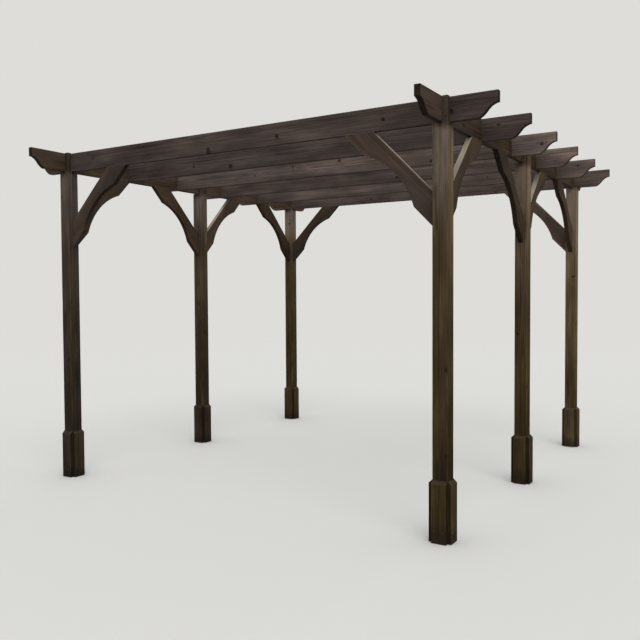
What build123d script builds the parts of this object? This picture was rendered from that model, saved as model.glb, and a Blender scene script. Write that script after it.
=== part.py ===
from build123d import *
import os
from math import sqrt

# A free-standing timber pergola: three posts down each side carry two side
# beams, and six rafters are halved over the beams. Sizes are in millimetres.
# X runs along the rafters, Y from front to back and Z up from the ground.
# The origin is on the ground, midway between the posts.

# Plan of the posts
post_spacing_across = 3210
post_spacing_along = 3210
top_height = 2600

# Square posts, each cut away at the top so that a horn stands outside the beam
post_size = 95
horn_width = 32
horn_rise = 4

# Side beams and rafters, which are the same planed timber
beam_depth = 145
beam_thickness = 38
rafter_count = 6
rafter_overhang = 285
side_beam_overhang = 310
halving_clearance = 1

# Shaped end of every beam and rafter: a straight nose over an S curve
nose_height = 64
ogee_length = 118
ogee_turn_length = 66
ogee_turn_drop = 39
ogee_turn_slope = (8, 11)

# Arched braces, cut from one board at 45 degrees
brace_reach = 400
brace_board_depth = 145
brace_thickness = 38
brace_land = 132
brace_waist = 83

# Boards round the foot of each post
foot_board_height = 370
foot_board_thickness = 24
foot_board_bevel = 20
foot_board_edge_setback = 1

# Levels and centre lines that follow from the sizes above
beam_underside = top_height - beam_depth
halving_depth = beam_depth / 2
post_x = post_spacing_across / 2
post_y = post_spacing_along / 2
post_half = post_size / 2
beam_offset = post_half - horn_width - beam_thickness / 2
rafter_half_length = post_x + post_half + rafter_overhang
side_beam_half_length = post_y + post_half + side_beam_overhang
end_rafter_y = post_y + beam_offset
rafter_pitch = 2 * end_rafter_y / (rafter_count - 1)
rafter_lines = [-end_rafter_y + rafter_pitch * i for i in range(rafter_count)]
side_lines = {"left": -post_x, "right": post_x}
row_lines = {"front": -post_y, "middle": 0, "back": post_y}
beam_lines = {side: x + beam_offset for side, x in side_lines.items()}


def upright_plane(origin, direction):
    """A vertical plane whose own X points along direction and own Y points up."""
    side = Vector(direction).cross(Vector(0, 0, 1))
    return Plane(origin=origin, x_dir=direction, z_dir=side)


def finish(piece, name):
    """Label a finished piece and write it as its own file."""
    piece.part.label = name
    export_step(piece.part, f"parts/{name}.step")


def make_post(x, y, outward):
    """A square post with a horn on its right. outward is -1 at the front corner,
    1 at the back corner, where the end rafter needs a seat too, and 0 between."""
    horn_length = horn_width if outward else post_size
    horn_x = x + post_half - horn_width / 2
    horn_y = y + outward * (post_half - horn_width / 2)
    with BuildPart() as post:
        with BuildSketch(Plane((x, y, 0))):
            Rectangle(post_size, post_size)
        extrude(amount=beam_underside)
        with BuildSketch(Plane((horn_x, horn_y, beam_underside))):
            Rectangle(horn_width, horn_length)
        extrude(amount=beam_depth + horn_rise)
    return post


def make_beam(plane, half_length, notch_lines, notch_height):
    """A shaped beam on its plane, with a halving at each line. notch_height is
    the middle of the halvings, above the underside."""
    nose = (half_length, beam_depth - nose_height)
    turn = (half_length - ogee_turn_length, nose[1] - ogee_turn_drop)
    heel = (half_length - ogee_length, 0)
    with BuildPart() as beam:
        with BuildSketch(plane):
            with BuildLine():
                Polyline((0, 0), heel)
                TangentArc(turn, heel, tangent=(-ogee_turn_slope[0], -ogee_turn_slope[1]))
                TangentArc(turn, nose, tangent=ogee_turn_slope)
                Polyline(nose, (half_length, beam_depth), (0, beam_depth), (0, 0))
            make_face()
            mirror(about=Plane.YZ)
            with Locations([(line, notch_height) for line in notch_lines]):
                Rectangle(beam_thickness + halving_clearance, halving_depth, mode=Mode.SUBTRACT)
        extrude(amount=beam_thickness / 2, both=True)
    return beam


def make_brace(plane):
    """An arched brace. The plane's origin is where the post's face meets the
    underside of the beam, and its own X points away from the post."""
    board_run = brace_board_depth * sqrt(2)
    toe = brace_reach + board_run
    arch_middle = brace_reach / 2 + brace_waist / sqrt(2)
    with BuildPart() as brace:
        with BuildSketch(plane):
            with BuildLine():
                Polyline((brace_land, brace_land - toe), (0, -toe), (0, -brace_reach),
                         (brace_reach, 0), (toe, 0), (toe - brace_land, -brace_land))
                ThreePointArc((toe - brace_land, -brace_land), (arch_middle, -arch_middle),
                              (brace_land, brace_land - toe))
            make_face()
        extrude(amount=brace_thickness / 2, both=True)
    return brace


def make_foot_boards(x, y):
    """Four bevelled boards, one on each face of a post, open at the corners."""
    with BuildPart() as boards:
        for dx, dy in ((1, 0), (0, 1), (-1, 0), (0, -1)):
            face = (x + dx * post_half, y + dy * post_half, 0)
            with BuildSketch(upright_plane(face, (dx, dy, 0))):
                with BuildLine():
                    Polyline((0, 0), (foot_board_thickness, 0),
                             (foot_board_thickness, foot_board_height - foot_board_bevel),
                             (foot_board_thickness - foot_board_bevel, foot_board_height),
                             (0, foot_board_height), close=True)
                make_face()
            extrude(amount=post_half - foot_board_edge_setback, both=True)
    return boards


os.makedirs("parts", exist_ok=True)

# Posts and their foot boards
for row, y in row_lines.items():
    for side, x in side_lines.items():
        outward = {"front": -1, "middle": 0, "back": 1}[row]
        finish(make_post(x, y, outward), f"post_{row}_{side}")
        finish(make_foot_boards(x, y), f"foot_boards_{row}_{side}")

# Side beams, halved from the top to take the rafters
for side, x in beam_lines.items():
    beam_plane = upright_plane((x, 0, beam_underside), (0, 1, 0))
    side_beam = make_beam(beam_plane, side_beam_half_length, rafter_lines, beam_depth - halving_depth / 2)
    finish(side_beam, f"side_beam_{side}")

# Rafters, halved from below to drop over the side beams
for number, y in enumerate(rafter_lines, start=1):
    rafter_plane = upright_plane((0, y, beam_underside), (1, 0, 0))
    rafter = make_beam(rafter_plane, rafter_half_length, list(beam_lines.values()), halving_depth / 2)
    finish(rafter, f"rafter_{number}")

# Braces across, from the four corner posts to the end rafters
for row, y in (("front", rafter_lines[0]), ("back", rafter_lines[-1])):
    for side, inward in (("left", 1), ("right", -1)):
        corner = (side_lines[side] + inward * post_half, y, beam_underside)
        finish(make_brace(upright_plane(corner, (inward, 0, 0))), f"brace_across_{row}_{side}")

# Braces along the sides, from every post to the side beam in each free direction
for side, x in beam_lines.items():
    for row, way, forward in (("front", "back", 1), ("middle", "front", -1),
                              ("middle", "back", 1), ("back", "front", -1)):
        corner = (x, row_lines[row] + forward * post_half, beam_underside)
        finish(make_brace(upright_plane(corner, (0, forward, 0))), f"brace_{row}_{side}_to_{way}")
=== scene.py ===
import cmath
import logging
import math
from dataclasses import dataclass, field, replace
from enum import Enum
from functools import cached_property, partialmethod
from random import Random

import bpy
from mathutils import Euler, Matrix, Vector, noise


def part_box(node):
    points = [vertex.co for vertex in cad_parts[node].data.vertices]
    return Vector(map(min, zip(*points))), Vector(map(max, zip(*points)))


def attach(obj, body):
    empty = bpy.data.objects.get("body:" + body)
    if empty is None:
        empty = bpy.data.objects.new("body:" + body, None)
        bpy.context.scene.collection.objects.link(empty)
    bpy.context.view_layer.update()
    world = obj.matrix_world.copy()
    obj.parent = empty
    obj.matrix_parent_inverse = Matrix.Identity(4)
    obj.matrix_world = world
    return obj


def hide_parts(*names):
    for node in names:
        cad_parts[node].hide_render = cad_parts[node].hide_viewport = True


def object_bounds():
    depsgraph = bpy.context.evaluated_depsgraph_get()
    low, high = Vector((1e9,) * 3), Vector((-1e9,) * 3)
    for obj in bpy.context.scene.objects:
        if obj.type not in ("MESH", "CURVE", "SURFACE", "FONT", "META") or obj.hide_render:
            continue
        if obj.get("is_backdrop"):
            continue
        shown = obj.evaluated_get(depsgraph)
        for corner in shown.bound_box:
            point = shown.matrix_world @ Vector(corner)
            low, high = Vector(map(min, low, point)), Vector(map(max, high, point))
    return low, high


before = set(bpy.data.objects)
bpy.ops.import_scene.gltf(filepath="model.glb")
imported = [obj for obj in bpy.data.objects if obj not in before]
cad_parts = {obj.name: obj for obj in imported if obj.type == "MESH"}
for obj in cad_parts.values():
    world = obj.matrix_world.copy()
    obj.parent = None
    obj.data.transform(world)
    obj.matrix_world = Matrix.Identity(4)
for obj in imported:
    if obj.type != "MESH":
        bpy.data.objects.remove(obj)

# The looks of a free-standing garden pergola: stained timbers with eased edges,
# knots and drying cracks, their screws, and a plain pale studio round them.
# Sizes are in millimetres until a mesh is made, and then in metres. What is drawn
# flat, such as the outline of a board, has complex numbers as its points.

log = logging.getLogger("pergola")

Range = tuple[float, float]
Triple = tuple[float, float, float]
Colour = Triple
Worn = tuple[complex, float]
Screw = tuple[Vector, Vector]
Material = bpy.types.Material

MM = 0.001
UP = Vector((0, 0, 1))
RIGHTWARDS = Vector((1, 0, 0))
BACKWARDS = Vector((0, 1, 0))
FOUR_WAYS = (RIGHTWARDS, BACKWARDS, -RIGHTWARDS, -BACKWARDS)
SEED = 1907


class Slot(Enum):
    """The material slots of the record."""

    POSTS = "posts"
    FOOT_BOARDS = "foot_boards"
    BEAMS = "beams"
    BRACES = "braces"


class Place(Enum):
    """A place whose name is a word in the names of the nodes."""

    @property
    def word(self) -> str:
        """The word."""
        return self.name.lower()


class Row(Place):
    """A row of posts, by its place from front to back."""

    FRONT = -1
    MIDDLE = 0
    BACK = 1


class Side(Place):
    """A side of the pergola, seen from the front."""

    LEFT = -1
    RIGHT = 1


class Arris(Enum):
    """How far the edges along a line of a board's outline are eased."""

    PLANED = 2.0
    SHAPED = 1.2
    SAWN = 0.5


def srgb(colour: Colour) -> tuple[float, ...]:
    """Turn a display colour, from 0 to 255, into the linear one with alpha that a shader takes."""
    shares = (value / 255 for value in colour)
    return (*(s / 12.92 if s <= 0.04045 else ((s + 0.055) / 1.055) ** 2.4 for s in shares), 1.0)


def share_between(x: float, low: float, high: float) -> float:
    """Say how far x is on the way from low to high, from 0 to 1."""
    return min(1.0, max(0.0, (x - low) / (high - low)))


def dented(slow: Triple, quick: Triple, sway: float, floor: float, depth: float) -> float:
    """Say how much an arris is eased where slow and quick noise is read, with dents over the floor."""
    return 1 + sway * noise.noise(Vector(slow)) + depth * max(0.0, noise.noise(Vector(quick)) - floor)


@dataclass
class Signal:
    """A node's output socket, which takes part in sums as a number does."""

    graph: "Graph"
    node: bpy.types.Node
    key: str | int = 0

    def at(self, key: str | int) -> "Signal":
        """Give another output of the same node."""
        return Signal(self.graph, self.node, key)

    def maths(self, operation: str, *others: "Value", swapped: bool = False) -> "Signal":
        """Add a Math node that takes this signal first, or last where it is swapped."""
        values = (*others, self) if swapped else (self, *others)
        return self.graph.add("Math", {"operation": operation}, dict(enumerate(values)))

    __add__ = __radd__ = partialmethod(maths, "ADD")
    __sub__ = partialmethod(maths, "SUBTRACT")
    __rsub__ = partialmethod(maths, "SUBTRACT", swapped=True)
    __mul__ = __rmul__ = partialmethod(maths, "MULTIPLY")
    __truediv__ = partialmethod(maths, "DIVIDE")
    __rtruediv__ = partialmethod(maths, "DIVIDE", swapped=True)
    __gt__ = partialmethod(maths, "GREATER_THAN")

    def bell(self) -> "Signal":
        """Give 1 where this is zero, falling off to both sides."""
        return (self * self * -1.0).maths("EXPONENT")

    def clamp(self) -> "Signal":
        """Keep this from 0 to 1."""
        return self.graph.add("Clamp", None, {"Value": self})

    def step(self, low: float, high: float) -> "Signal":
        """Go smoothly from 0 to 1.

        Args:
            low: Where the result is 0.
            high: Where it is 1. It may be under low.

        Returns:
            The result.
        """
        if low > high:
            return 1 - self.step(high, low)
        sockets = {"Value": self, "From Min": low, "From Max": high}
        return self.graph.add("MapRange", {"interpolation_type": "SMOOTHSTEP"}, sockets)

    @cached_property
    def parts(self) -> tuple["Signal", "Signal", "Signal"]:
        """The X, Y and Z of a vector."""
        x = self.graph.add("SeparateXYZ", None, {0: self})
        return x, x.at(1), x.at(2)

    def scaled(self, factors: Triple) -> "Signal":
        """Multiply a vector by one number for each axis."""
        return self.graph.add("VectorMath", {"operation": "MULTIPLY"}, {0: self, 1: factors})

    def clouds(self, along: float, across: float, detail: float = 2.0, roughness: float = 0.5) -> "Signal":
        """Read noise about 0, mostly from -0.5 to 0.5, whose features are counted to a metre."""
        sockets = {"Vector": self.scaled((along, across, across)), "Scale": 1.0, "Detail": detail}
        return (self.graph.add("TexNoise", None, {**sockets, "Roughness": roughness}) - 0.5) * 1.6

    def dice(self) -> tuple["Signal", "Signal", "Signal"]:
        """Give three even random numbers for each vector."""
        made = self.graph.add("TexWhiteNoise", {"noise_dimensions": "3D"}, {"Vector": self})
        return made.at("Color").parts

    @property
    def socket(self) -> bpy.types.NodeSocket:
        """The socket itself."""
        return self.node.outputs[self.key]


Value = Signal | float | int
Tint = Signal | Colour


class Graph:
    """A node tree that is written as expressions."""

    def __init__(self, tree: bpy.types.NodeTree) -> None:
        """Empty the tree and keep it."""
        self.tree = tree
        tree.nodes.clear()

    def add(self, kind: str, settings: dict | None = None, sockets: dict | None = None) -> Signal:
        """Add any node.

        Args:
            kind: The node's type, without the words that all of them begin with.
            settings: Its settings, which are set first. A ramp's stops are places and display colours.
            sockets: Values, display colours or signals for its inputs, by name or number.

        Returns:
            Its first output.
        """
        node = self.tree.nodes.new(f"ShaderNode{kind}")
        for name, value in (settings or {}).items():
            if name != "stops":
                setattr(node, name, value)
                continue
            elements = node.color_ramp.elements
            for _ in value[len(elements) :]:
                elements.new(1.0)
            for element, (place, colour) in zip(elements, value, strict=True):
                element.position, element.color = place, srgb(colour)
        for key, value in (sockets or {}).items():
            socket = node.inputs[key]
            if isinstance(value, Signal):
                self.tree.links.new(value.socket, socket)
            else:
                display = socket.type == "RGBA" and len(value) == 3
                socket.default_value = srgb(value) if display else value
        return Signal(self, node)

    def join(self, x: Value, y: Value, z: Value) -> Signal:
        """Make a vector of three values."""
        return self.add("CombineXYZ", None, {0: x, 1: y, 2: z})

    def attribute(self, name: str, output: str = "Fac") -> Signal:
        """Read one of the mesh's own attributes."""
        return self.add("Attribute", {"attribute_name": name}).at(output)

    def geometry(self, name: str) -> Signal:
        """Read the surface's Position or Normal."""
        return self.add("NewGeometry").at(name)

    def mix(self, factor: Value, under: Tint, over: Tint, blend: str = "MIX") -> Signal:
        """Lay as much of the second colour over the first as the factor says."""
        settings = {"data_type": "RGBA", "blend_type": blend, "clamp_factor": True}
        return self.add("Mix", settings, {0: factor, 6: under, 7: over}).at(2)

    def seen(self) -> Signal:
        """Tell the rays that show the background from the ones that light the object."""
        path = self.add("LightPath")
        return (path.at("Is Camera Ray") + path.at("Is Glossy Ray") + path.at("Is Transmission Ray")).clamp()


@dataclass(frozen=True)
class Finish:
    """A material that is written as one surface."""

    name: str

    def make(self) -> Material:
        """Make the material.

        Returns:
            The material.
        """
        material = bpy.data.materials.new(self.name)
        material.use_nodes = True
        g = Graph(material.node_tree)
        g.add("OutputMaterial", None, {"Surface": self.surface(g)})
        return material

    def surface(self, g: Graph) -> Signal:
        """Add the nodes to a graph and give the shader."""
        raise NotImplementedError


class Stain(Enum):
    """The stains, each from its darkest grain to its palest."""

    BROWN = ((31, 25, 22), (51, 43, 40), (72, 62, 58), (95, 82, 76), (133, 116, 105))
    OLIVE = ((31, 24, 14), (50, 40, 24), (69, 56, 37), (92, 76, 54), (124, 105, 82))
    # UMBER is the brown stain made yellower by painted light: the lawn's green bounce on faces that look
    # sideways.
    UMBER = ((31, 24, 17), (50, 40, 30), (70, 57, 44), (92, 76, 62), (126, 107, 89))
    HAZEL = ((31, 25, 20), (51, 42, 35), (72, 60, 52), (95, 80, 70), (131, 113, 99))


@dataclass(frozen=True)
class StainedTimber(Finish):
    """Planed softwood under a dark stain that a few summers have worn."""

    stain: Stain = Stain.BROWN
    shade_places: tuple[float, ...] = (0.0, 0.3, 0.52, 0.76, 1.0)
    knot_colour: Colour = (27, 19, 14)
    crack_colour: Colour = (14, 10, 8)
    end_colour: Colour = (27, 21, 17)
    worn_colour: Colour = (104, 86, 68)
    bleached_colour: Colour = (168, 155, 142)
    cool_colour: Colour = (72, 66, 68)
    # The dark at the foot: damp wood, and painted shade of the grass.
    wet_colour: Colour = (28, 23, 22)
    # The green of the film: algae, and painted bounce light from the lawn.
    algae_colour: Colour = (58, 48, 18)
    bleaching: float = 0.75
    mottle: float = 0.42
    wear: float = 0.3
    ring_width: float = 0.0042
    ring_contrast: float = 0.16
    whorl_spacing: float = 0.42
    branches: int = 4
    knot_share: float = 0.45
    knot_core: float = 0.0035
    knot_taper: float = 0.06
    knot_rise: float = 0.25
    knot_relief: float = 0.0002
    ring_relief: float = 0.00007
    fibre_relief: float = 0.00009
    streak_relief: float = 0.0001
    crack_relief: float = 0.0009
    # The tone rises with height, partly as sun-fading and partly as painted light.
    fade_per_metre: float = 0.0
    fade_base: float = 1.5
    # A lighter band just under a post's shoulder: painted sunlight.
    sunlit_band: float = 0.0
    thin_span: Range = (1.9, 2.42)
    # A darker horn above the beams' undersides: painted shadow of the rafters over it.
    horn_shadow: float = 0.0
    soaked_span: Range = (2.40, 2.47)
    grey_span: Range = (1.5, 2.4)
    end_stain: float = 0.5
    algae: float = 0.0
    damp_height: float = 0.0
    roughness: float = 0.8

    def surface(self, g: Graph) -> Signal:
        """Add the nodes, which read the grain, tone, cut, arris and damp of the meshes.

        Args:
            g: The graph.

        Returns:
            The shader.
        """
        grain, cut = g.attribute("grain", "Vector"), g.attribute("cut")
        height = g.geometry("Position").parts[2]
        knot, halo, swell, knot_rings = self._knots(grain)
        late = self._rings(grain, swell) * (1 - knot) + knot_rings * knot
        fibre = grain.clouds(22.0, 900.0, 2.0, 0.6)
        streak = grain.clouds(1.6, 95.0, 3.0, 0.6)
        blotch = grain.clouds(2.6, 9.0, 2.0, 0.55)
        crack = self._cracks(grain)

        tone = g.attribute("tone") + streak * 0.3 + blotch * self.mottle + fibre * 0.16
        tone = tone - late * self.ring_contrast + 0.5 * self.ring_contrast - cut * (0.35 * self.end_stain)
        grey = grain.clouds(0.9, 11.0, 1.0).step(-0.15, 0.45) * 0.3
        # Lighter and greyer towards the top: partly weathering, partly painted light, with sun on the tops
        # and green lawn bounce below.
        if self.fade_per_metre:
            tone = tone + self._by_height(height, blotch)
            grey = grey + height.step(*self.grey_span) * 0.3
        # Drier stations turn greyer: partly weathering, partly painted shade on the left-hand posts.
        if self.algae:
            grey = grey + (1 - g.attribute("damp")) * 0.35
        stops = list(zip(self.shade_places, self.stain.value, strict=True))
        colour = g.add("ValToRGB", {"stops": stops}, {"Fac": tone.clamp()})
        colour = g.mix(grey.clamp(), colour, self.cool_colour, "COLOR")
        if self.algae:
            colour = self._green(grain, height, colour)
        colour = g.mix(halo * 0.35, colour, self.knot_colour)
        colour = g.mix(knot * (0.62 + 0.3 * knot_rings), colour, self.knot_colour)
        colour = self._weather(grain, cut, colour)
        colour = g.mix(crack * 0.85, colour, self.crack_colour)
        # Darker at the foot: partly damp wood, partly painted shade where the grass meets the boards.
        if self.damp_height:
            wet_and_shade = (height + blotch * 0.08).step(self.damp_height, self.damp_height * 0.3)
            colour = g.mix(wet_and_shade * 0.6, colour, self.wet_colour)

        relief = late * self.ring_relief + fibre * self.fibre_relief + streak * self.streak_relief
        relief = relief - crack * self.crack_relief + knot * self.knot_relief
        gloss = self.roughness + streak * 0.14 - late * 0.06 + cut * 0.15 + crack * 0.15
        sockets = {
            "Base Color": colour,
            "Roughness": gloss.clamp(),
            "Normal": g.add("Bump", None, {"Strength": 0.8, "Distance": 1.0, "Height": relief}),
            "Specular IOR Level": 0.03,
        }
        return g.add("BsdfPrincipled", None, sockets)

    def _knots(self, grain: Signal) -> tuple[Signal, Signal, Signal, Signal]:
        """Cut the branches of the log, which stand in whorls round the pith.

        Args:
            grain: The place in the log.

        Returns:
            The knot's mask, the dark wood round it, how far it swells the rings, and its own rings.
        """
        along, across, through = grain.parts
        radius = (across * across + through * through).maths("SQRT")
        cell = (along / self.whorl_spacing).maths("FLOOR")
        place, turn, _ = grain.graph.join(cell, 3.7, 1.3).dice()
        angle = (through.maths("ARCTAN2", across) / math.tau + turn) * self.branches
        sector = angle.maths("FLOOR")
        wrapped = sector.maths("FLOORED_MODULO", self.branches)
        sideways = radius * ((angle - sector - 0.5) * (math.tau / self.branches)).maths("SINE")
        chance, size, shift = grain.graph.join(cell, wrapped, 9.1).dice()
        start = (cell + 0.3 + place * 0.4) * self.whorl_spacing
        lengthways = along - start - (shift - 0.5) * 0.1 - radius * self.knot_rise
        spread = (radius * self.knot_taper + self.knot_core) * (size * 0.8 + 0.6)
        reach = (sideways * sideways + lengthways * lengthways * 0.7).maths("SQRT") / spread
        there = chance > (1 - self.knot_share)
        knot = reach.step(1.08, 0.9) * there
        halo = ((reach - 1.0) / 0.55).bell() * there
        swell = (reach * 0.5).bell() * spread * 1.2 * there
        rings = (reach * 3.4).maths("FRACT").step(0.2, 0.9)
        return knot, halo, swell, rings

    def _rings(self, grain: Signal, swell: Signal) -> Signal:
        """Draw the dark late wood of each year's ring.

        Args:
            grain: The place in the log.
            swell: How far a knot pushes the rings out.

        Returns:
            A mask of late wood.
        """
        _, across, through = grain.parts
        out = across + grain.clouds(0.9, 0.0) * 0.009
        over = through + grain.scaled((-1.0, 1.0, 1.0)).clouds(1.1, 0.0) * 0.009
        radius = (out * out + over * over).maths("SQRT")
        ripple = grain.clouds(3.0, 26.0) * 0.0035
        years = ((radius + ripple - swell) / self.ring_width).maths("FRACT")
        return years.step(0.25, 0.85) * years.step(1.0, 0.9)

    @staticmethod
    def _cracks(grain: Signal) -> Signal:
        """Draw the fine drying cracks that run with the grain."""
        line = grain.clouds(1.1, 42.0, 1.0).maths("ABSOLUTE").step(0.022, 0.004)
        return line * grain.clouds(1.3, 14.0, 1.0).step(0.20, 0.34)

    def _weather(self, grain: Signal, cut: Signal, colour: Signal) -> Signal:
        """Bleach what faces the sky, wear the stain off the arrises and darken the sawn ends.

        Args:
            grain: The place in the log.
            cut: The mask of end grain.
            colour: The stained wood.

        Returns:
            The weathered colour.
        """
        g = grain.graph
        patches = grain.clouds(5.0, 45.0, 3.0, 0.65)
        sky = g.geometry("Normal").parts[2].step(0.25, 0.85) * (0.75 + patches * 0.6)
        colour = g.mix(sky.clamp() * self.bleaching, colour, self.bleached_colour)
        worn = g.attribute("arris") * patches.step(-0.1, 0.4)
        colour = g.mix(worn.clamp() * self.wear, colour, self.worn_colour)
        return g.mix(cut * self.end_stain, colour, self.end_colour)

    def _by_height(self, height: Signal, blotch: Signal) -> Signal:
        """Lighten a post upwards, partly as fading and partly as painted light, add a band of painted
        sunlight under its shoulder, and darken its horn with painted shadow.
        """
        lift = (height - self.fade_base) * self.fade_per_metre + height.step(*self.thin_span) * self.sunlit_band
        return lift - (height + blotch * 0.08).step(*self.soaked_span) * self.horn_shadow

    def _green(self, grain: Signal, height: Signal, colour: Signal) -> Signal:
        """Lay a green film over the lower part of a post, most of it on its right side: partly algae, partly
        painted green bounce light from the lawn.

        Args:
            grain: The place in the log.
            height: The height above the ground.
            colour: The stained wood.

        Returns:
            The colour with the film.
        """
        g = grain.graph
        # The right-hand faces get most of the film, and there it is painted lawn bounce light.
        right_face = g.geometry("Normal").parts[0].step(0.2, 0.9)
        film = grain.clouds(1.4, 16.0, 2.0, 0.6).step(-0.35, 0.35) * (1.1 - height * 0.36)
        film = (film * (0.5 + 1.2 * right_face)).clamp() * g.attribute("damp")
        return g.mix(film * self.algae, colour, self.algae_colour, "COLOR")


@dataclass(frozen=True)
class ScrewSteel(Finish):
    """Brown-coated steel in crushed fibre, with the coat rubbed off here and there."""

    coat: Colour = (46, 38, 31)
    rust: Colour = (66, 43, 29)
    crushed: Colour = (20, 15, 11)

    def surface(self, g: Graph) -> Signal:
        """Add the nodes, which read the fibre of the meshes.

        Args:
            g: The graph.

        Returns:
            The shader.
        """
        specks = g.geometry("Position").clouds(420.0, 420.0, 3.0, 0.7)
        fibre = g.attribute("fibre")
        colour = g.mix(specks.step(0.0, 0.35), self.coat, self.rust)
        sockets = {
            "Base Color": g.mix(fibre, colour, self.crushed),
            "Metallic": specks.step(0.15, -0.1) * 0.35 * (1 - fibre),
            "Roughness": 0.6 + specks * 0.2 + fibre * 0.3,
        }
        return g.add("BsdfPrincipled", None, sockets)


@dataclass(frozen=True)
class Timber:
    """One length of wood: where it stands, and where it lay in its log."""

    origin: Vector
    along: Vector
    up: Vector
    pith: complex
    log_start: float
    tone: float
    slant: float = 0.0
    damp: float = 0.0
    # The far end's raise in tone over its span is painted sunlight.
    sunlit_end: float = 0.0
    ramp_span: Range = (1560.0, 1780.0)

    @cached_property
    def across(self) -> Vector:
        """The way through its thickness."""
        return self.up.cross(self.along)

    @property
    def grain_way(self) -> Vector:
        """The way of the grain in the model's frame."""
        return self.along * math.cos(self.slant) + self.up * math.sin(self.slant)

    def tone_at(self, x: float) -> float:
        """Give the tone at a place along the timber, with painted sunlight raising it towards the far end."""
        share = share_between(x, *self.ramp_span)
        return self.tone + self.sunlit_end * share * share * (3 - 2 * share)

    def place(self, x: float, y: float, z: float) -> Vector:
        """Give the point of the model's frame for a point of the timber, in millimetres."""
        return self.origin + self.along * x + self.across * y + self.up * z

    def in_log(self, x: float, y: float, z: float) -> Vector:
        """Give the place in the log, along it and out from its pith, in metres."""
        spot = complex(x, z) * cmath.rect(1.0, -self.slant)
        return Vector((spot.real + self.log_start, y - self.pith.real, spot.imag - self.pith.imag)) * MM


def new_piece(name: str, points: list, faces: list, material: Material, sharp: float) -> bpy.types.Object:
    """Make a smooth object that rides on the pergola.

    Args:
        name: Its name.
        points: Its points, in metres.
        faces: The point numbers of its faces.
        material: Its material.
        sharp: The turn, in degrees, at which an edge is drawn sharp.

    Returns:
        The object.
    """
    mesh = bpy.data.meshes.new(name)
    mesh.from_pydata(points, [], faces)
    mesh.shade_smooth()
    mesh.set_sharp_from_angle(angle=math.radians(sharp))
    mesh.materials.append(material)
    made = bpy.data.objects.new(name, mesh)
    bpy.context.scene.collection.objects.link(made)
    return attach(made, "root")


@dataclass
class Draft:
    """The points and faces of a timber piece while it is made."""

    points: list[Vector] = field(default_factory=list)
    faces: list[tuple[int, ...]] = field(default_factory=list)
    grain: list[float] = field(default_factory=list)
    layers: dict[str, list[float]] = field(default_factory=lambda: {"arris": [], "tone": [], "damp": []})
    ways: list[Vector] = field(default_factory=list)
    sharp: float = 42.0
    end_grain: float = 0.35

    def end(self, timber: Timber) -> None:
        """Say that the faces since the timber before it belong to this one."""
        self.ways += [timber.grain_way] * (len(self.faces) - len(self.ways))

    def level(self, timber: Timber, x: float, spots: list[Worn]) -> list[int]:
        """Add a ring of points at one place along the timber."""
        return self.loop(timber, [(x, spot.real, spot.imag, worn) for spot, worn in spots])

    def loop(self, timber: Timber, spots: list[tuple[float, float, float, float]]) -> list[int]:
        """Add a ring of points.

        Args:
            timber: The timber that they belong to.
            spots: Each point in the timber's own axes, and how worn it is, from 0 to 1.

        Returns:
            Their numbers.
        """
        first = len(self.points)
        for x, y, z, worn in spots:
            self.points.append(timber.place(x, y, z) * MM)
            self.grain.extend(timber.in_log(x, y, z))
            values = (worn, timber.tone_at(x), timber.damp)
            for layer, value in zip(self.layers.values(), values, strict=True):
                layer.append(value)
        return list(range(first, len(self.points)))

    def bridge(self, low: list[int], high: list[int], flip: bool = False) -> None:
        """Join two rings of the same length with quads, which may be turned over."""
        for quad in zip(low, high, high[1:] + high[:1], low[1:] + low[:1], strict=True):
            self.faces.append(quad[::-1] if flip else quad)

    def show(self, node: str, material: Material, slot: Slot) -> None:
        """Put the piece in the scene in place of a CAD node.

        Args:
            node: The CAD node that it stands for.
            material: Its material.
            slot: The record's material slot; it is not used.
        """
        made = new_piece(f"{node}_timber", self.points, self.faces, material, self.sharp)
        mesh = made.data
        mesh.attributes.new("grain", "FLOAT_VECTOR", "POINT").data.foreach_set("vector", self.grain)
        for label, values in self.layers.items():
            mesh.attributes.new(label, "FLOAT", "POINT").data.foreach_set("value", values)
        ends = (abs(face.normal.dot(way)) for face, way in zip(mesh.polygons, self.ways, strict=True))
        cut = [share_between(end, self.end_grain, 1.0) for end in ends]
        mesh.attributes.new("cut", "FLOAT", "FACE").data.foreach_set("value", cut)
        made.modifiers.new("flat_faces", "WEIGHTED_NORMAL").keep_sharp = True
        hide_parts(node)
        box = (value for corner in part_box(node) for value in corner)
        off = max(abs(a - b) for a, b in zip((*made.bound_box[0], *made.bound_box[6]), box, strict=True))
        log.info("%s: %d faces, %.2f mm off its solid", made.name, len(mesh.polygons), off / MM)


def arc_by_tangent(start: complex, tangent: complex, end: complex, steps: int) -> list[complex]:
    """Sample the arc that leaves a point in a given direction.

    Args:
        start: Where it starts.
        tangent: Its direction there.
        end: Where it ends.
        steps: How many chords it gets.

    Returns:
        The points from start to end.
    """
    ahead = tangent / abs(tangent)
    chord = (end - start) * ahead.conjugate()
    centre = start + 1j * ahead * abs(chord) ** 2 / (2 * chord.imag)
    sweep = 2 * cmath.phase(chord)
    return [centre + (start - centre) * cmath.rect(1, sweep * k / steps) for k in range(steps + 1)]


@dataclass(frozen=True)
class RimPoint:
    """A point of a board's rim: its place, the way inwards, its border point and its easing."""

    place: complex
    way: complex
    inside: complex
    ease: float


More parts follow.
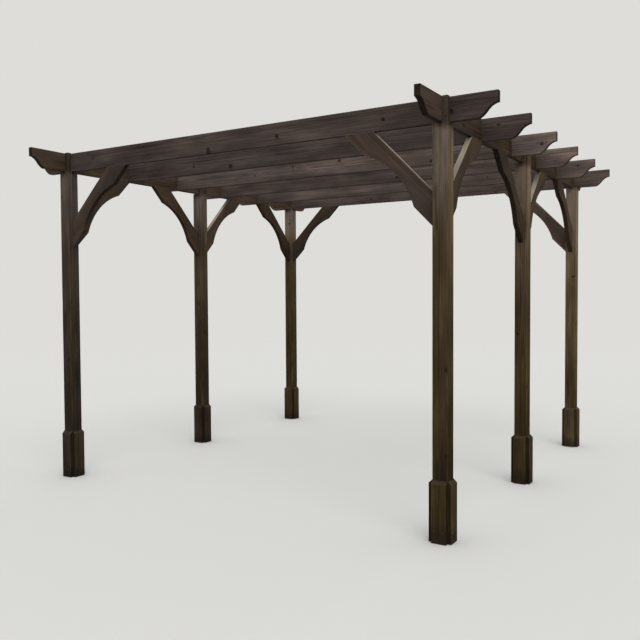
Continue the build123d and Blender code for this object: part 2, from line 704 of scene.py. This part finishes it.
@dataclass
class Board:
    """A board of even thickness with eased arrises, sawn to an outline.

    The outline is seen from the side, anticlockwise: the kind of the edges, and the points that they leave.
    """

    thickness: float
    outline: list[tuple[Arris, list[complex]]]
    # How much lower the tone of the flat faces is: painted shade.
    border: float = 10.0
    flat_shade: float = 0.0
    turns: int = 3
    spacing: float = 28.0
    guard: float = 3.0
    deepest: float = 0.85
    sway_length: float = 140.0
    dent_length: float = 45.0

    def _corners(self) -> list[RimPoint]:
        """Find the outline's corners.

        Returns:
            The corners, whose ways are long enough to move both edges inwards by one.
        """
        spots = [(spot, edge.value) for edge, group in self.outline for spot in group]
        runs = [b - a for (a, _), (b, _) in zip(spots, spots[1:] + spots[:1])]
        normals, made = [1j * run / abs(run) for run in runs], []
        for i, (spot, ease) in enumerate(spots):
            way = (normals[i - 1] + normals[i]) / (1 + (normals[i - 1].conjugate() * normals[i]).real)
            made.append(RimPoint(spot, way, spot + way * self.border, min(ease, spots[i - 1][1])))
        return made

    def _rim(self) -> list[RimPoint]:
        """Divide the long edges.

        Returns:
            The points of the rim.
        """
        corners, made = self._corners(), []
        edges = [edge.value for edge, group in self.outline for _ in group]
        for a, b, ease in zip(corners, corners[1:] + corners[:1], edges, strict=True):
            made.append(a)
            run = b.place - a.place
            free = abs(run) - 2 * self.guard
            if free < 2 * self.guard:
                continue
            parts = max(1, math.ceil(free / self.spacing))
            for k in range(parts + 1):
                share = (self.guard + free * k / parts) / abs(run)
                inside = a.inside + (b.inside - a.inside) * share
                made.append(RimPoint(a.place + run * share, 1j * run / abs(run), inside, ease))
        return made

    def add_to(self, draft: Draft, timber: Timber) -> Draft:
        """Add the board's faces to a draft.

        Args:
            draft: The draft to add to.
            timber: The timber that it is cut from.

        Returns:
            The draft.
        """
        # The flat faces get a lower tone than the eased edges: painted shade.
        flat_shaded = replace(timber, tone=timber.tone - self.flat_shade)
        rim, half, rings = self._rim(), self.thickness / 2, []
        for sign in (-1, 1):
            walls = [(p.place.real, sign * (half - self.border), p.place.imag, 0.0) for p in rim]
            made = [draft.loop(timber, walls)]
            for k in range(self.turns + 1):
                angle, spots = math.pi / 2 * k / self.turns, []
                for p in rim:
                    radius = self._worn_radius(timber, p, sign)
                    spot = p.place + p.way * radius * (1 - math.cos(angle))
                    depth = half - radius + radius * math.sin(angle)
                    spots.append((spot.real, sign * depth, spot.imag, 1.0))
                made.append(draft.loop(timber, spots))
            made.append(draft.loop(flat_shaded, [(p.inside.real, sign * half, p.inside.imag, 0.0) for p in rim]))
            rings += made[::-1] if sign < 0 else made
        for low, high in zip(rings, rings[1:]):
            draft.bridge(low, high)
        draft.faces += [tuple(rings[0]), tuple(reversed(rings[-1]))]
        draft.end(timber)
        return draft

    def _worn_radius(self, timber: Timber, point: RimPoint, sign: int) -> float:
        """Vary the easing of an arris, with a dent here and there.

        Args:
            timber: The timber.
            point: The point of the rim.
            sign: The face that the arris belongs to.

        Returns:
            The radius.
        """
        if point.ease < Arris.SHAPED.value:
            return point.ease
        slow, quick = point.place / self.sway_length, point.place / self.dent_length
        seed = timber.log_start * MM * 7 + sign * 31
        spots = ((slow.real, slow.imag, seed), (quick.real, quick.imag, seed + 50))
        return min(point.ease * dented(*spots, sway=0.35, floor=0.38, depth=2.4), self.deepest * self.border)


@dataclass(frozen=True)
class Station:
    """Where a post stands."""

    row: Row
    side: Side
    foot: Vector

    @property
    def words(self) -> str:
        """The station's words in the names of the nodes."""
        return f"{self.row.word}_{self.side.word}"


@dataclass(frozen=True)
class Frame:
    """The sizes that all the timbers share."""

    post_spacing: float = 3210.0
    top: float = 2600.0
    post: float = 95.0
    horn: float = 32.0
    horn_rise: float = 4.0
    depth: float = 145.0
    thickness: float = 38.0
    rafters: int = 6
    rafter_overhang: float = 285.0
    side_overhang: float = 310.0
    halving: float = 39.0

    @property
    def underside(self) -> float:
        """The height of the beams' undersides."""
        return self.top - self.depth

    @property
    def offset(self) -> float:
        """How far a beam's middle is from the middle of its posts."""
        return self.post / 2 - self.horn - self.thickness / 2

    def line(self, place: Place) -> float:
        """Give a row's place from front to back, or a side's place across."""
        return place.value * self.post_spacing / 2

    def beam_line(self, side: Side) -> float:
        """Give a side beam's place across."""
        return self.line(side) + self.offset

    def rafter_lines(self) -> list[float]:
        """Give the rafters' places from front to back."""
        last = self.post_spacing / 2 + self.offset
        return [-last + 2 * last * i / (self.rafters - 1) for i in range(self.rafters)]

    def stations(self) -> list[Station]:
        """Give the posts' stations, from front to back and from left to right."""
        places = [(row, side) for row in Row for side in Side]
        return [Station(row, side, Vector((self.line(side), self.line(row), 0))) for row, side in places]


@dataclass
class Joinery:
    """What the sub-assemblies share: the sizes, and the draw of what no two timbers have alike."""

    sizes: Frame
    draw: Random
    log_length: float = 150_000

    def within(self, limits: Range) -> float:
        """Draw a number between two limits."""
        return self.draw.uniform(*limits)

    def either_way(self, limits: Range) -> float:
        """Draw a distance between two limits, to one side or the other."""
        return self.draw.choice((-1, 1)) * self.within(limits)

    def log_start(self) -> float:
        """Draw how far along its log a timber starts."""
        return self.within((0, self.log_length))


@dataclass
class Beams(Joinery):
    """The two side beams and the rafters that are halved over them."""

    nose: float = 64.0
    ogee: float = 118.0
    turn: complex = 66 + 39j
    slope: complex = 8 + 11j
    steps: int = 9
    # The side beams take the umber copy of the rafters' stain, which paints green bounce light from the lawn.
    side_finish: Finish = StainedTimber("stained_side_beam", Stain.UMBER)
    rafter_finish: Finish = StainedTimber("stained_rafter")
    pith_across: Range = (35, 80)
    pith_up: Range = (20, 125)
    side_tones: Range = (0.5, 0.42)
    tones: tuple[float, ...] = (0.49, 0.49, 0.66, 0.52, 0.60, 0.56)
    # Painted sunlight on the right-hand ends of rafters three to six.
    sunlit_ends: tuple[float, ...] = (0.0, 0.0, 0.17, 0.24, 0.2, 0.17)

    def _board(self, lines: list[float], overhang: float, from_top: bool) -> Board:
        """Shape a beam with an S curve at each end.

        Args:
            lines: Where it is halved, along it.
            overhang: How far it runs past the posts.
            from_top: Whether the halvings are cut from the top, as a side beam's are.

        Returns:
            The board.
        """
        sizes, top = self.sizes, 1j * self.sizes.depth
        reach = sizes.post_spacing / 2 + sizes.post / 2 + overhang
        nose = reach + top - 1j * self.nose
        lower = arc_by_tangent(nose - self.turn, -self.slope, reach - self.ogee, self.steps)
        end = lower[::-1] + arc_by_tangent(nose - self.turn, self.slope, nose, self.steps)[1:]
        level, half = (top, -sizes.halving / 2) if from_top else (0j, sizes.halving / 2)
        halvings = []
        for line in sorted(lines, reverse=from_top):
            left, right = line - half, line + half
            halvings.append((Arris.SAWN, [left + level, left + top / 2, right + top / 2]))
            halvings.append((Arris.PLANED, [right + level]))
        outline = [
            (Arris.PLANED, [complex(-end[0].real)]),
            *([] if from_top else halvings),
            (Arris.SHAPED, end[:-1]),
            (Arris.SAWN, end[-1:]),
            (Arris.PLANED, [top + reach]),
            *(halvings if from_top else []),
            (Arris.SAWN, [top - reach]),
            (Arris.SHAPED, [-spot.conjugate() for spot in end[:0:-1]]),
        ]
        return Board(sizes.thickness, outline)

    def _log(self) -> tuple[complex, float]:
        """Draw a flat-sawn board's place in its log."""
        return complex(self.either_way(self.pith_across), self.within(self.pith_up)), self.log_start()

    def build(self) -> None:
        """Make and dress the beams and rafters."""
        sizes, level = self.sizes, self.sizes.underside
        rafter_lines, beam_lines = sizes.rafter_lines(), [sizes.beam_line(side) for side in Side]
        board, material = self._board(rafter_lines, sizes.side_overhang, True), self.side_finish.make()
        for side, x, tone in zip(Side, beam_lines, self.side_tones, strict=True):
            timber = Timber(Vector((x, 0, level)), BACKWARDS, UP, *self._log(), tone)
            board.add_to(Draft(), timber).show(f"side_beam_{side.word}", material, Slot.BEAMS)
        board, material = self._board(beam_lines, sizes.rafter_overhang, False), self.rafter_finish.make()
        # Each rafter gets its tone, and painted sunlight on its far end.
        looks = zip(rafter_lines, self.tones, self.sunlit_ends, strict=True)
        for number, (y, tone, sunlit) in enumerate(looks, start=1):
            timber = Timber(Vector((0, y, level)), RIGHTWARDS, UP, *self._log(), tone, sunlit_end=sunlit)
            board.add_to(Draft(), timber).show(f"rafter_{number}", material, Slot.BEAMS)


@dataclass
class Braces(Joinery):
    """The arched braces between the posts and what they carry."""

    reach: float = 400.0
    board: float = 145.0
    land: float = 132.0
    waist: float = 83.0
    steps: int = 36
    across_finish: Finish = StainedTimber("stained_cross_brace", Stain.HAZEL, knot_share=0.3, bleaching=0.95)
    # The side braces take the umber copy, which paints green bounce light from the lawn on faces that look
    # sideways.
    side_finish: Finish = StainedTimber("stained_side_brace", Stain.UMBER, knot_share=0.3, bleaching=0.95)
    lean: float = math.radians(45)
    pith_across: Range = (30, 70)
    pith_up: Range = (-330, -240)
    tones: Range = (0.38, 0.54)
    # The shifts darken the left-hand braces, which is painted shade, and lighten the back right cross brace,
    # which is painted sunlight.
    shifts: dict[str, float] = field(
        default_factory=lambda: {
            "brace_across_front_left": -0.12,
            "brace_across_back_left": -0.08,
            "brace_across_back_right": 0.2,
            "brace_middle_left_to_front": -0.04,
        }
    )

    @property
    def toe(self) -> float:
        """How far a brace reaches along its post and its beam."""
        return self.reach + self.board * math.sqrt(2)

    def _board(self) -> Board:
        """Shape a brace. Its corner is the origin, and X points away from the post.

        Returns:
            The board.
        """
        land = self.land * (1 + 1j)
        far, near = self.toe - land, land - 1j * self.toe
        rise = abs((far + near) / 2 - (self.reach / 2 + self.waist / math.sqrt(2)) * (1 - 1j))
        slope = self.lean + 2 * math.atan(2 * rise / abs(far - near))
        outline = [
            (Arris.SHAPED, arc_by_tangent(near, cmath.rect(1, slope), far, self.steps)[:-1]),
            (Arris.PLANED, [far]),
            (Arris.SAWN, [complex(self.toe)]),
            (Arris.PLANED, [complex(self.reach)]),
            (Arris.SAWN, [-1j * self.reach]),
            (Arris.PLANED, [-1j * self.toe]),
        ]
        return Board(self.sizes.thickness, outline)

    def places(self) -> list[tuple[str, Vector, Vector]]:
        """Find every brace.

        Returns:
            Each one's node, corner and way out from its post.
        """
        sizes, half, made = self.sizes, self.sizes.post / 2, []
        lines = sizes.rafter_lines()
        ends = (Row.FRONT, Row.BACK)
        for row, y in zip(ends, (lines[0], lines[-1]), strict=True):
            for side in Side:
                corner = Vector((sizes.line(side) - side.value * half, y, sizes.underside))
                made.append((f"brace_across_{row.word}_{side.word}", corner, -side.value * RIGHTWARDS))
        for side in Side:
            for row, to in ((row, to) for row in Row for to in ends if to is not row):
                way = math.copysign(1, to.value - row.value)
                corner = Vector((sizes.beam_line(side), sizes.line(row) + way * half, sizes.underside))
                made.append((f"brace_{row.word}_{side.word}_to_{to.word}", corner, way * BACKWARDS))
        return made

    def build(self) -> None:
        """Make and dress the braces."""
        board, across, along = self._board(), self.across_finish.make(), self.side_finish.make()
        for node, corner, way in self.places():
            pith = complex(self.either_way(self.pith_across), self.within(self.pith_up))
            log_start, tone = self.log_start(), self.within(self.tones) + self.shifts.get(node, 0.0)
            timber = Timber(corner, way, UP, pith, log_start, tone, slant=self.lean)
            board.add_to(Draft(), timber).show(node, across if way.x else along, Slot.BRACES)


@dataclass
class PostPart(Joinery):
    """What stands at each station, in the stations' order."""

    # How damp each station is, which sets its green film and its grey: partly damp, partly painted light,
    # with shade on the left-hand posts and lawn bounce on the right.
    damp: tuple[float, ...] = (0.2, 1.0, 0.5, 1.0, 0.9, 1.0)


@dataclass
class FootBoards(PostPart):
    """The four bevelled boards round the foot of each post."""

    height: float = 370.0
    thickness: float = 24.0
    bevel: float = 20.0
    setback: float = 1.0
    border: float = 2.7
    # Painted shade on the boards' flat faces.
    flat_shade: float = 0.2
    finish: Finish = StainedTimber(
        "stained_foot_board",
        Stain.OLIVE,
        knot_share=0.25,
        damp_height=0.13,
        algae=0.6,
        bleaching=0.05,
        end_stain=0.4,
    )
    pith_across: Range = (-30, 30)
    pith_out: Range = (40, 90)
    # The low tones of the left-hand foot boards are painted shade, and the higher tone at the back right is
    # painted sunlight.
    tones: tuple[float, ...] = (0.23, 0.40, 0.27, 0.38, 0.38, 0.56)
    tone_spread: Range = (-0.06, 0.06)

    def _board(self) -> Board:
        """Shape a board, seen from its edge with X up and Z away from the post.

        Returns:
            The board.
        """
        face = 1j * self.thickness
        outline = [
            (Arris.SAWN, [0j, complex(self.height)]),
            (Arris.SHAPED, [self.height + face - 1j * self.bevel]),
            (Arris.PLANED, [self.height - self.bevel + face]),
            (Arris.SAWN, [face]),
        ]
        return Board(self.sizes.post - 2 * self.setback, outline, self.border, self.flat_shade)

    def build(self) -> None:
        """Make and dress the foot boards of every post."""
        board, material = self._board(), self.finish.make()
        for station, usual, damp in zip(self.sizes.stations(), self.tones, self.damp, strict=True):
            draft = Draft()
            for outward in FOUR_WAYS:
                origin = station.foot + outward * self.sizes.post / 2
                pith = complex(self.within(self.pith_across), self.either_way(self.pith_out))
                log_start, tone = self.log_start(), usual + self.within(self.tone_spread)
                board.add_to(draft, Timber(origin, UP, outward, pith, log_start, tone, damp=damp))
            draft.show(f"foot_boards_{station.words}", material, Slot.FOOT_BOARDS)


@dataclass(frozen=True)
class Crack:
    """A drying crack along one face of a post."""

    face: int
    low: float
    place: float
    high: float
    width: float
    depth: float
    seed: float
    lip: float = 0.4
    gape_length: float = 60.0
    wander: float = 5.0
    wander_length: float = 420.0

    def gape(self, x: float) -> float:
        """Say how open the crack is at a height, from 0 to 1."""
        share = math.sin(math.pi * share_between(x, self.low, self.high)) ** 0.7
        return share * (0.75 + 0.5 * noise.noise(Vector((x / self.gape_length, self.seed, 0))))

    def spots(self, x: float) -> list[Triple]:
        """Give the crack's lips and bottom at a height.

        Args:
            x: The height.

        Returns:
            Across the face, inwards and worn, for each of the three.
        """
        gape, sway = self.gape(x), noise.noise(Vector((x / self.wander_length, self.seed, 7)))
        place, lip = self.place + self.wander * sway, self.lip + self.width / 2 * gape
        return [(place - lip, 0.0, 0.0), (place, self.depth * gape, 0.3), (place + lip, 0.0, 0.0)]


@dataclass
class Posts(PostPart):
    """The six posts, cut away at the top to leave a horn beside the beam."""

    ease: float = 3.0
    turns: int = 4
    border: float = 7.0
    spacing: float = 30.0
    sway_length: float = 160.0
    dent_length: float = 55.0
    base_chamfer: float = 2.0
    base_wear: float = 0.4
    horn_rings: Range = (50.0, 100.0)
    horn_chamfer: float = 1.2
    horn_wear: float = 0.8
    finish: Finish = StainedTimber(
        "stained_post",
        Stain.OLIVE,
        algae=0.92,
        wear=0.5,
        fade_per_metre=0.24,
        sunlit_band=0.14,
        horn_shadow=0.45,
    )
    cracked_faces: tuple[bool, ...] = (False, True, True, True)
    crack_starts: Range = (430, 1700)
    crack_places: Range = (26, 44)
    crack_lengths: Range = (350, 1100)
    crack_top: float = 2380.0
    crack_widths: Range = (1.2, 2.6)
    crack_depths: Range = (5, 11)
    crack_seeds: Range = (0, 90)
    pith_limits: Range = (-26, 26)
    # The low tones of the left-hand posts are painted shade, and the high tone of the back right post is
    # painted sunlight.
    tones: tuple[float, ...] = (0.40, 0.48, 0.45, 0.50, 0.50, 0.76)
    # Painted sunlight on the upper shafts of the posts, raised over the span below.
    sunlit_tops: tuple[float, ...] = (0.0, 0.02, 0.08, 0.12, 0.08, 0.0)
    ramp_span: Range = (1700.0, 2300.0)

    def build(self) -> None:
        """Make and dress the posts."""
        material = self.finish.make()
        looks = zip(self.sizes.stations(), self.tones, self.damp, self.sunlit_tops, strict=True)
        for station, tone, damp, sunlit in looks:
            timber = Timber(
                station.foot,
                UP,
                BACKWARDS,
                complex(self.within(self.pith_limits), self.within(self.pith_limits)),
                self.log_start(),
                tone,
                damp=damp,
                sunlit_end=sunlit,
                ramp_span=self.ramp_span,
            )
            draft = Draft()
            self._add(draft, timber, station.row)
            draft.show(f"post_{station.words}", material, Slot.POSTS)

    def _cracks(self) -> list[Crack]:
        """Draw the cracks of one post, one on most faces.

        Returns:
            The cracks.
        """
        made = []
        for face in range(4):
            if self.draw.choice(self.cracked_faces):
                low, place = self.within(self.crack_starts), self.within(self.crack_places)
                high = min(low + self.within(self.crack_lengths), self.crack_top)
                limits = (self.crack_widths, self.crack_depths, self.crack_seeds)
                made.append(Crack(face, low, place, high, *(self.within(pair) for pair in limits)))
        return made

    def _section(self, x: float, timber: Timber, cracks: list[Crack], seams: dict[int, float]) -> list[Worn]:
        """Give the section of a post at a height.

        Args:
            x: The height.
            timber: The post's timber.
            cracks: Its cracks.
            seams: The place of the saw cuts beside the horn on the faces that have one.

        Returns:
            Each point's place, with across real and backwards imaginary, and how worn it is. They run
            anticlockwise, seen from above.
        """
        size, margin = self.sizes.post, self.border + self.ease
        ring = []
        for face, turn in enumerate((1, 1j, -1, -1j)):
            radius, side = self._corner(x, timber, face), []
            for k in range(self.turns, -1, -1):
                angle = math.pi / 2 * k / self.turns
                side.append((radius * (1 - math.sin(angle)), radius * (1 - math.cos(angle)), 1.0))
            flat = [(margin, 0.0, 0.0), (size - margin, 0.0, 0.0)]
            if face in seams:
                flat.append((seams[face], 0.0, 0.0))
            flat += [spot for crack in cracks if crack.face == face for spot in crack.spots(x)]
            ring += [(complex(p - size / 2, q - size / 2) * turn, worn) for p, q, worn in side + sorted(flat)]
        return ring

    def _corner(self, x: float, timber: Timber, face: int) -> float:
        """Give the easing of a corner at a height, with a dent here and there.

        Args:
            x: The height.
            timber: The post's timber.
            face: The face that the corner starts.

        Returns:
            The radius.
        """
        seed = timber.log_start * MM * 3 + face * 17
        spots = ((x / self.sway_length, seed, 0), (x / self.dent_length, seed, 9))
        return self.ease * dented(*spots, sway=0.3, floor=0.4, depth=1.8)

    def _add(self, draft: Draft, timber: Timber, row: Row) -> None:
        """Add one post.

        Args:
            draft: The draft to add to.
            timber: Its timber.
            row: Its row, which says where the horn stands.
        """
        size, horn, top, chamfer = self.sizes.post, self.sizes.horn, self.sizes.underside, self.base_chamfer
        half, wide = size / 2, size - horn
        seams, deep = {
            Row.FRONT: ({0: wide, 1: horn}, (-half, horn - half)),
            Row.MIDDLE: ({0: wide, 2: horn}, (-half, half)),
            Row.BACK: ({1: wide, 2: horn}, (half - horn, half)),
        }[row]
        cracks, count = self._cracks(), math.ceil(top / self.spacing)
        heights = [chamfer + (top - chamfer) * k / count for k in range(count + 1)]
        sections = [self._section(x, timber, cracks, seams) for x in heights]
        rings = [draft.level(timber, x, section) for x, section in zip(heights, sections, strict=True)]
        foot, shrink = self._section(0.0, timber, cracks, seams), 1 - chamfer / half
        base = draft.level(timber, 0.0, [(spot * shrink, self.base_wear) for spot, _ in foot])
        for low, high in zip([base] + rings, rings):
            draft.bridge(low, high, flip=True)
        draft.faces.append(tuple(reversed(base)))
        self._add_top(draft, timber, rings[-1], sections[-1], deep)
        draft.end(timber)

    def _add_top(
        self, draft: Draft, timber: Timber, ring: list[int], section: list[Worn], deep: Range
    ) -> None:
        """Close the shoulder, and carry the horn up from it.

        Args:
            draft: The draft to add to.
            timber: The post's timber.
            ring: The points at the top of the shaft.
            section: The section there.
            deep: The horn's reach from front to back.
        """
        sizes, half, near = self.sizes, self.sizes.post / 2, 0.01
        inner, bottom, top = half - sizes.horn, sizes.underside, sizes.top + sizes.horn_rise
        inside = [p.real > inner - near and deep[0] - near < p.imag < deep[1] + near for p, _ in section]
        first = next(i for i in range(len(ring)) if inside[i] and not inside[i - 1])
        turned = [*range(first, len(ring)), *range(first)]
        shared, rest = [i for i in turned if inside[i]], [i for i in turned if not inside[i]]
        corner = [(complex(inner, z), 0.0) for z in deep if abs(z) < half]
        numbers = draft.level(timber, bottom, corner)
        draft.faces.append((*(ring[i] for i in (shared[-1], *rest, shared[0])), *numbers))

        low = [ring[i] for i in shared] + numbers
        middle = complex(inner + half, sum(deep)) / 2
        wide, long = (half - inner) / 2, (deep[1] - deep[0]) / 2
        levels = [(bottom + rise, 0.0) for rise in self.horn_rings]
        for x, inset in levels + [(top - self.horn_chamfer, 0.0), (top, self.horn_chamfer)]:
            spots, wear = [], inset / self.horn_chamfer * self.horn_wear
            for spot, worn in [section[i] for i in shared] + corner:
                out = spot - middle
                out = complex(out.real * (1 - inset / wide), out.imag * (1 - inset / long))
                spots.append((middle + out, max(worn, wear)))
            high = draft.level(timber, x, spots)
            draft.bridge(low, high, flip=True)
            low = high
        draft.faces.append(tuple(low))


@dataclass
class Screws(Joinery):
    """The countersunk screws that hold the timbers together."""

    finish: Finish = ScrewSteel("coated_screw_steel")
    points: int = 24
    profile: tuple[Range, ...] = ((3.0, -3.0), (6.0, -0.1), (4.9, 0.12), (4.7, 0.3), (4.3, 0.5))
    fibre_rings: int = 2
    drive: tuple[float, ...] = (2.5, 2.2, 1.8, 2.2)
    drive_levels: Range = (0.55, 0.2)
    sinks: Range = (0.0, 0.12)
    sharp: float = 35.0
    board_shift: float = 24.0
    board_rises: Range = (70.0, 305.0)
    brace_runs: Range = (34.0, 88.0)
    horn_rises: Range = (38.0, 104.0)
    corner_spread: float = 8.0
    middle_spread: float = 24.0
    horn_end_rises: Range = (30.0, 116.0)
    horn_end_shift: float = 7.0

    def build(self) -> None:
        """Make the screws of each kind of timber as one piece."""
        material = self.finish.make()
        self._make("screws_of_foot_boards", self._in_foot_boards(), material)
        self._make("screws_of_braces", self._in_braces(), material)
        self._make("screws_of_beams", self._in_beams(), material)

    def _stray(self, most: float) -> float:
        """Draw how far a screw is off its line."""
        return self.draw.uniform(-most, most)

    def _in_foot_boards(self) -> list[Screw]:
        """Place four screws in each foot board.

        Returns:
            The place and the way out of each.
        """
        made, out = [], self.sizes.post / 2 + FootBoards.thickness
        for station in self.sizes.stations():
            for outward in FOUR_WAYS:
                for shift in (-self.board_shift, self.board_shift):
                    for height in self.board_rises:
                        place = station.foot + outward * out + outward.cross(UP) * (shift + self._stray(4))
                        made.append((place + UP * (height + self._stray(5)), outward))
        return made

    def _in_braces(self) -> list[Screw]:
        """Place two screws at each end of a brace.

        Returns:
            The place and the way out of each.
        """
        braces, made = Braces(self.sizes, self.draw), []
        for _, corner, way in braces.places():
            for run in self.brace_runs:
                for x, z in ((run, run - braces.toe), (braces.toe - run, -run)):
                    place = corner + way * x + UP * z + way.cross(UP) * self._stray(2.5)
                    made.append((place, (way - UP).normalized()))
        return made

    def _in_beams(self) -> list[Screw]:
        """Place the screws in the horns and the halvings.

        Returns:
            The place and the way out of each.
        """
        sizes, half, horn, made = self.sizes, self.sizes.post / 2, self.sizes.horn, []
        for side in Side:
            face = sizes.line(side) + half
            for row in Row:
                y = sizes.line(row) + row.value * (half - horn / 2)
                spread = self.corner_spread if row.value else self.middle_spread
                for shift, rise in zip((-spread, spread), self.horn_rises, strict=True):
                    made.append((Vector((face, y + shift, sizes.underside + rise)), RIGHTWARDS))
                for shift, rise in zip((1, -1), self.horn_end_rises, strict=True) if row.value else ():
                    x = face - horn / 2 + shift * self.horn_end_shift
                    place = Vector((x, sizes.line(row) + row.value * half, sizes.underside + rise))
                    made.append((place, row.value * BACKWARDS))
            for y in sizes.rafter_lines():
                x = sizes.beam_line(side) + self._stray(6)
                made.append((Vector((x, y + self._stray(4), sizes.top)), UP))
        return made

    def _make(self, name: str, places: list[Screw], material: Material) -> None:
        """Make one piece of many screws.

        Args:
            name: The piece's name.
            places: The place of each head, in millimetres, and its way out.
            material: Their material.
        """
        points, faces = [], []
        for place, outward in places:
            faces += self._faces(len(points))
            points += self._head(place, outward)
        made = new_piece(name, points, [face for face, _ in faces], material, self.sharp)
        fibre = made.data.attributes.new("fibre", "FLOAT", "FACE")
        fibre.data.foreach_set("value", [crushed for _, crushed in faces])
        log.info("%s: %d heads", name, len(places))

    def _head(self, place: Vector, outward: Vector) -> list[Vector]:
        """Shape one head, a closed form that is partly sunk in the wood.

        Args:
            place: Where it is, in millimetres.
            outward: The way that it faces.

        Returns:
            Its points in metres, ring by ring.
        """
        spin, sink, made = self.draw.uniform(0, math.tau), self.within(self.sinks), []
        turn = outward.to_track_quat("Z", "Y").to_matrix()
        rings = [((radius,), height) for radius, height in self.profile]
        for radii, height in rings + [(self.drive, height) for height in self.drive_levels]:
            for k in range(self.points):
                radius, angle = radii[k % len(radii)], spin + math.tau * k / self.points
                spot = Vector((radius * math.cos(angle), radius * math.sin(angle), height - sink))
                made.append((place + turn @ spot) * MM)
        return made

    def _faces(self, first: int) -> list[tuple[tuple[int, ...], float]]:
        """Give the faces of a head.

        Args:
            first: The number of its first point.

        Returns:
            The point numbers of each, and whether it is crushed wood and not steel.
        """
        count = len(self.profile) + len(self.drive_levels)
        rings = [list(range(first + i * self.points, first + (i + 1) * self.points)) for i in range(count)]
        made = [(tuple(reversed(rings[0])), 1.0)]
        for number, (low, high) in enumerate(zip(rings, rings[1:])):
            crushed = float(number < self.fibre_rings or number == count - 2)
            made += [(quad, crushed) for quad in zip(low, low[1:] + low[:1], high[1:] + high[:1], high)]
        return made + [(tuple(rings[-1]), 1.0)]


@dataclass(frozen=True)
class PaleFloor(Finish):
    """A matt floor that shows the background's colour far from the object."""

    far_colour: Colour = (222, 221, 217)
    near_colour: Colour = (186, 185, 182)
    bounce_colour: Colour = (86, 84, 79)
    ramp_span: Range = (7.0, 22.0)

    def surface(self, g: Graph) -> Signal:
        """Add the nodes.

        Args:
            g: The graph.

        Returns:
            The shader.
        """
        x, y, _ = g.geometry("Position").parts
        fade = (x * x + y * y).maths("SQRT").step(*self.ramp_span)
        seen = g.seen()
        close = g.mix(seen, self.bounce_colour, self.near_colour)
        distant = g.mix(seen, self.bounce_colour, self.far_colour)
        near = g.add("BsdfPrincipled", None, {"Base Color": close, "Roughness": 0.9})
        far = g.add("Emission", None, {"Color": distant, "Strength": 1.0})
        return g.add("MixShader", None, {0: fade, 1: near, 2: far})


@dataclass
class Studio:
    """A plain pale floor under soft light, which fades into the background."""

    finish: PaleFloor = PaleFloor("pale_floor")
    floor_reach: float = 60.0
    floor_sides: int = 96
    sky_colour: tuple[float, ...] = (0.97, 0.985, 1.0, 1.0)
    sky_strength: float = 1.2
    sun_colour: Colour = (1.0, 0.985, 0.96)
    sun_from: Triple = (0.46, -0.46, 0.95)
    sun_strength: float = 1.2
    sun_spread: float = 35.0

    def build(self) -> None:
        """Make the floor, the world and the lamp."""
        self._floor()
        self._world()
        self._sun()
        log.info("studio: floor, world and lamp")

    def _floor(self) -> None:
        """Make the floor, a disc."""
        rim = [cmath.rect(self.floor_reach, math.tau * k / self.floor_sides) for k in range(self.floor_sides)]
        mesh = bpy.data.meshes.new("studio_floor")
        mesh.from_pydata([(p.real, p.imag, 0.0) for p in rim], [], [tuple(range(self.floor_sides))])
        mesh.materials.append(self.finish.make())
        floor = bpy.data.objects.new("studio_floor", mesh)
        bpy.context.scene.collection.objects.link(floor)
        floor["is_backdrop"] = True

    def _world(self) -> None:
        """Light from all round, and show the camera the floor's colour."""
        world = bpy.data.worlds.new("studio_world")
        bpy.context.scene.world = world
        world.use_nodes = True
        g = Graph(world.node_tree)
        light = g.add("Background", None, {"Color": self.sky_colour, "Strength": self.sky_strength})
        shown = g.add("Background", None, {"Color": self.finish.far_colour, "Strength": 1.0})
        g.add("OutputWorld", None, {"Surface": g.add("MixShader", None, {0: g.seen(), 1: light, 2: shown})})

    def _sun(self) -> None:
        """Hang the key lamp high over the nearest corner."""
        lamp = bpy.data.lights.new("studio_key", "SUN")
        lamp.energy, lamp.color = self.sun_strength, self.sun_colour
        lamp.angle = math.radians(self.sun_spread)
        made = bpy.data.objects.new("studio_key", lamp)
        made.rotation_euler = Vector(self.sun_from).to_track_quat("Z", "Y").to_euler()
        bpy.context.scene.collection.objects.link(made)


@dataclass
class Viewpoint:
    """The camera, where the photograph was taken from."""

    place: Triple = (3.2771, -5.7167, 1.4700)
    yaw: float = 31.479
    pitch: float = -2.026
    roll: float = -0.321
    lens: float = 42.023
    sensor: float = 36.0
    clip_end: float = 300.0

    def build(self) -> None:
        """Make the camera and give it to the scene."""
        data = bpy.data.cameras.new("viewpoint")
        data.lens, data.sensor_width, data.clip_end = self.lens, self.sensor, self.clip_end
        camera = bpy.data.objects.new("viewpoint", data)
        turn = Euler((math.radians(90 + self.pitch), 0, math.radians(self.yaw))).to_matrix().to_4x4()
        roll = Matrix.Rotation(math.radians(self.roll), 4, "Z")
        camera.matrix_world = Matrix.Translation(self.place) @ turn @ roll
        bpy.context.scene.collection.objects.link(camera)
        bpy.context.scene.camera = camera
        log.info("viewpoint: %s", camera.location)


def corners() -> list[list[float]]:
    """Give the shown object's lowest and highest corners as plain lists."""
    return [list(corner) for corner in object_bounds()]


def main() -> None:
    """Dress the pergola and set up the studio."""
    logging.basicConfig(level=logging.INFO, format="%(name)s: %(message)s")
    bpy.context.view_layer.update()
    bpy.context.scene.view_settings.view_transform = "Standard"
    sizes, draw = Frame(), Random(SEED)
    for kind in (Posts, FootBoards, Beams, Braces, Screws):
        kind(sizes, draw).build()
    Studio().build()
    Viewpoint().build()


if __name__ == "__main__":
    main()
